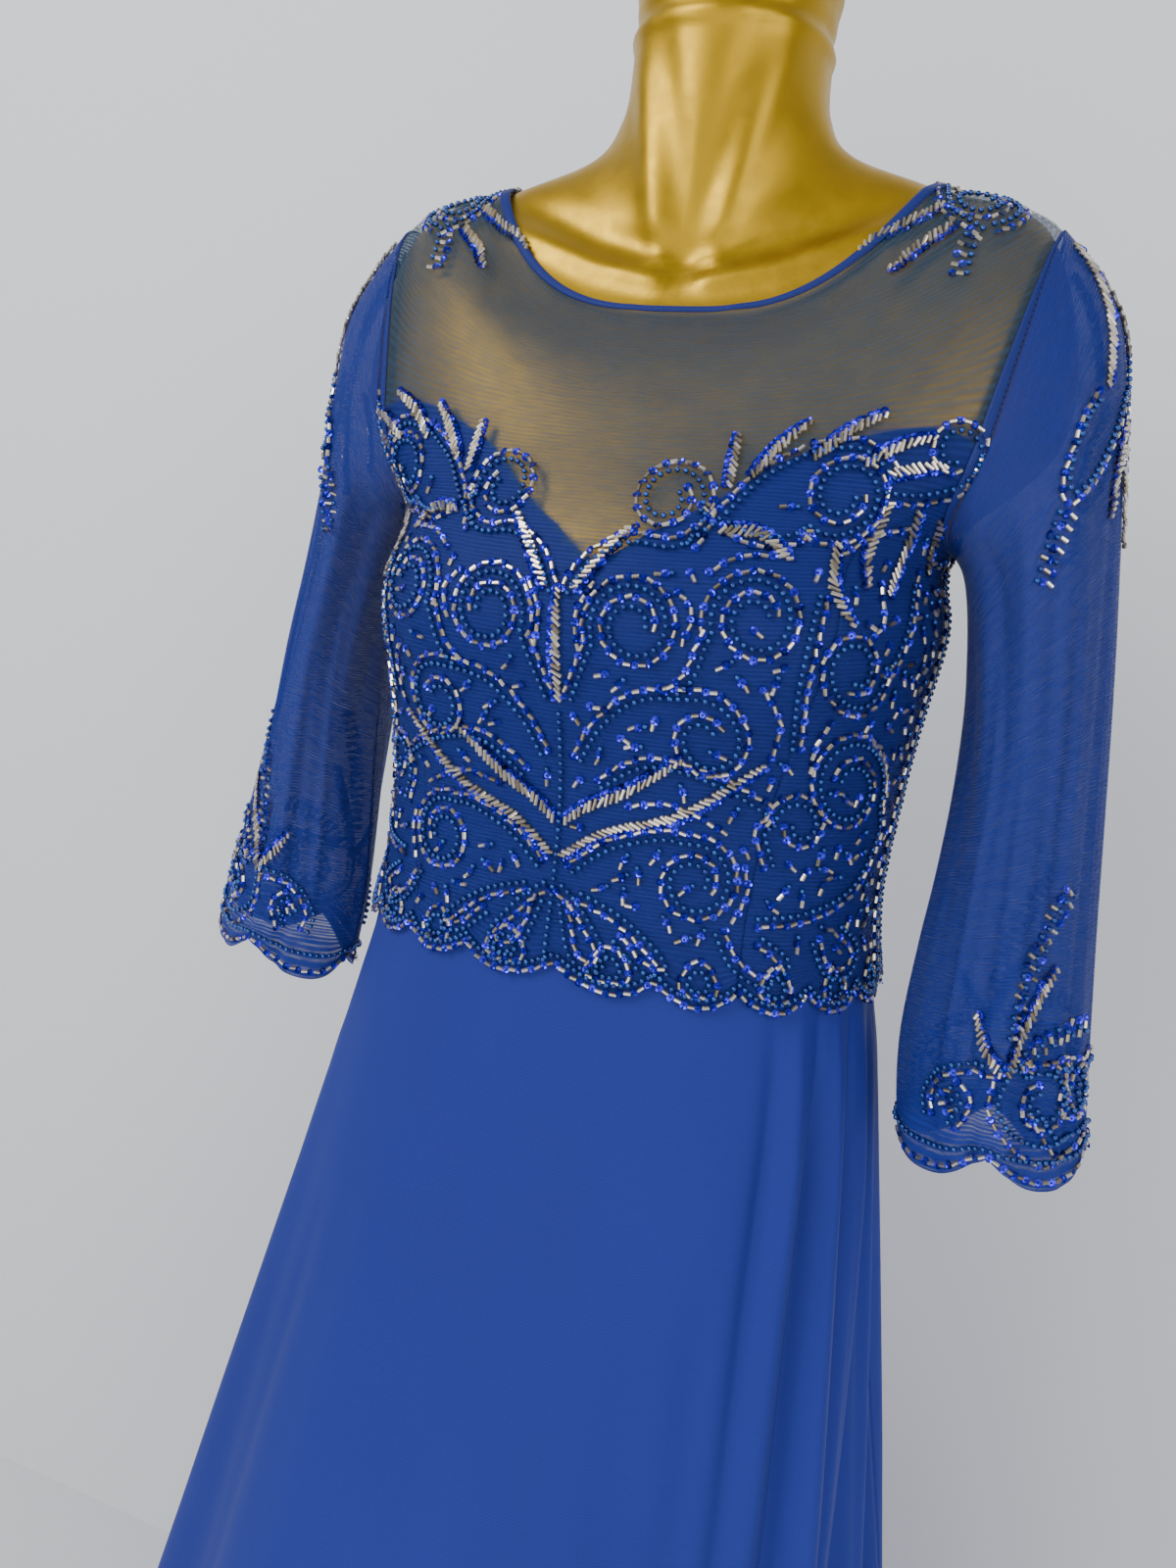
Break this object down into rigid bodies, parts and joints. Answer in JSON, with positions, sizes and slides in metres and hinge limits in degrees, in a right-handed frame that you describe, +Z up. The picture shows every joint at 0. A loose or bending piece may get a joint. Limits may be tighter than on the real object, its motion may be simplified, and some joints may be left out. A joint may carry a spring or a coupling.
{
  "type": "maxi dress on a dress form",
  "caption": "Long-sleeved maxi dress with a sheer beaded bodice and A-line skirt, worn by a limbless dress form on a round-based stand.",
  "frame": {"origin": "on the floor, under the middle of the stand's base plate", "axes": "+Z up through the neck; -Y is the front of the dress; +X is the wearer's left"},
  "size_m": [0.7155, 0.6095, 1.564],
  "materials": {
    "net": "sheer royal blue net with fine ribs, beaded",
    "lining": "opaque royal blue lining, low sheen",
    "crepe": "matte royal blue crepe",
    "zip_cloth": "woven tape",
    "zip_metal": "lacquered blue",
    "form_gold": "satin gold paint on moulded plastic",
    "steel": "satin steel"
  },
  "bodies": {
    "dress_on_form": {"bodice_centre_front": "net", "bodice_side_front_left": "net", "bodice_side_front_right": "net", "bodice_back_left": "net", "bodice_back_right": "net", "neck_binding": "net", "sleeve_left": "net", "sleeve_right": "net", "lining_front": "lining", "lining_back_left": "lining", "lining_back_right": "lining", "skirt_front": "crepe", "skirt_back_left": "crepe", "skirt_back_right": "crepe", "zip_tape": "zip_cloth", "zip_slider": "zip_metal", "form_torso": "form_gold", "stand_collar": "steel", "stand_pole": "steel", "stand_base": "steel"},
    "zip_pull_tab": {"zip_pull": "zip_metal"}
  },
  "joints": [
    {"name": "zip_pull_hinge", "type": "hinge", "parent": "dress_on_form", "child": "zip_pull_tab", "pos_m": [0, 0.08226, 1.42788], "axis": [1, 0, 0], "range_deg": [0, 150]}
  ]
}
